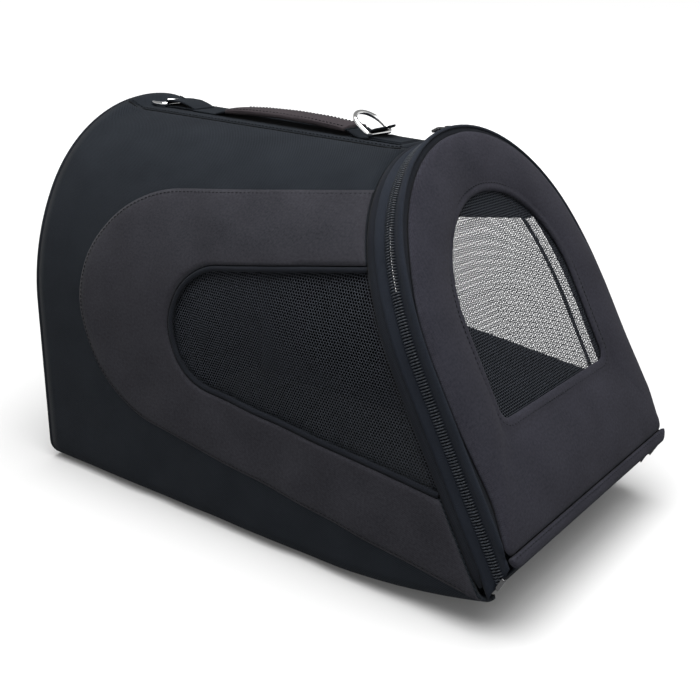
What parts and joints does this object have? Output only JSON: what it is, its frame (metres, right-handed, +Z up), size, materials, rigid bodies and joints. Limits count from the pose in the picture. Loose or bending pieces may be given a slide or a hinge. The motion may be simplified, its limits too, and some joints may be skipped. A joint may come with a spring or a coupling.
{
  "type": "soft pet carrier bag",
  "caption": "Soft pet carrier bag with a zip-closed sloping front door, mesh windows in both sides and the door, padded top handle, D-rings and a padded floor.",
  "frame": {"origin": "middle of the flat base, on the surface the bag stands on, half way between the rear panel and the foot of the front edge", "axes": "+X towards the door, +Y to the bag's left, +Z up"},
  "size_m": [0.4313, 0.2608, 0.2921],
  "materials": {
    "black_fabric": "plain woven polyester, coated inside",
    "charcoal_facing": "brushed microfibre over foam, faint nap",
    "window_mesh": "open knitted mesh",
    "piping_tape": "bias tape over cord",
    "zip_tape": "herringbone woven tape",
    "zip_coil": "coiled nylon monofilament",
    "zip_metal": "black enamelled die casting",
    "spring_wire": "drawn spring steel",
    "chrome_ring": "polished nickel-chrome plate",
    "grip_fabric": "padded twill wrap",
    "webbing": "woven polypropylene webbing",
    "fibreboard": "pressed hardboard",
    "fleece_pad": "short-pile fleece over foam"
  },
  "bodies": {
    "carrier": {"side_panel_right": "black_fabric", "side_panel_left": "black_fabric", "roof_panel": "black_fabric", "base_panel": "black_fabric", "rear_panel": "black_fabric", "side_facing_right": "charcoal_facing", "side_facing_left": "charcoal_facing", "side_mesh_right": "window_mesh", "side_mesh_left": "window_mesh", "window_piping_right": "piping_tape", "window_piping_left": "piping_tape", "rear_piping": "piping_tape", "front_piping": "piping_tape", "rear_hoop_wire": "spring_wire", "front_hoop_wire": "spring_wire", "base_board": "fibreboard", "floor_pad": "fleece_pad", "zip_tape_body": "zip_tape", "zip_coil_body": "zip_coil", "zip_end_stops": "zip_coil", "hinge_strip": "black_fabric", "ring_tab_rear": "webbing", "ring_tab_front": "webbing", "handle_anchor_rear": "webbing", "handle_anchor_front": "webbing"},
    "door": {"door_panel": "charcoal_facing", "door_hem": "charcoal_facing", "door_mesh": "window_mesh", "door_piping": "piping_tape", "door_hoop_wire": "spring_wire", "zip_tape_door": "zip_tape", "zip_coil_door": "zip_coil"},
    "handle": {"handle_grip": "grip_fabric", "handle_webbing": "webbing"},
    "d_ring_rear": {"d_ring_rear": "chrome_ring"},
    "d_ring_front": {"d_ring_front": "chrome_ring"},
    "slider_a": {"slider_a": "zip_metal"},
    "slider_b": {"slider_b": "zip_metal"},
    "pull_a": {"pull_a": "zip_metal"},
    "pull_b": {"pull_b": "zip_metal"}
  },
  "joints": [
    {"name": "door_hinge", "type": "hinge", "parent": "carrier", "child": "door", "pos_m": [0.21457, 0, 0.04956], "axis": [0, 1, 0], "range_deg": [0, 124]},
    {"name": "handle_lift", "type": "slide", "parent": "carrier", "child": "handle", "axis": [0, 0, 1], "range_m": [0, 0.012]},
    {"name": "ring_swing_rear", "type": "hinge", "parent": "carrier", "child": "d_ring_rear", "pos_m": [-0.181, 0, 0.28347], "axis": [0, 1, 0], "range_deg": [0, 125]},
    {"name": "ring_swing_front", "type": "hinge", "parent": "carrier", "child": "d_ring_front", "pos_m": [0.0245, 0, 0.27722], "axis": [0, 1, 0], "range_deg": [0, 85]},
    {"name": "slide_a", "type": "hinge", "parent": "carrier", "child": "slider_a", "pos_m": [0.13298, 0, 0.17599], "axis": [0.8805, 0, 0.4741], "range_deg": [0, 72]},
    {"name": "slide_b", "type": "hinge", "parent": "carrier", "child": "slider_b", "pos_m": [0.13298, 0, 0.17599], "axis": [0.8805, 0, 0.4741], "range_deg": [-52, 0]},
    {"name": "pull_swing_a", "type": "hinge", "parent": "slider_a", "child": "pull_a", "pos_m": [0.0756, 0.01272, 0.28256], "axis": [0.8805, 0, 0.4741], "range_deg": [-150, 0]},
    {"name": "pull_swing_b", "type": "hinge", "parent": "slider_b", "child": "pull_b", "pos_m": [0.07699, 0.02944, 0.27997], "axis": [0.8805, 0, 0.4741], "range_deg": [0, 150]}
  ]
}
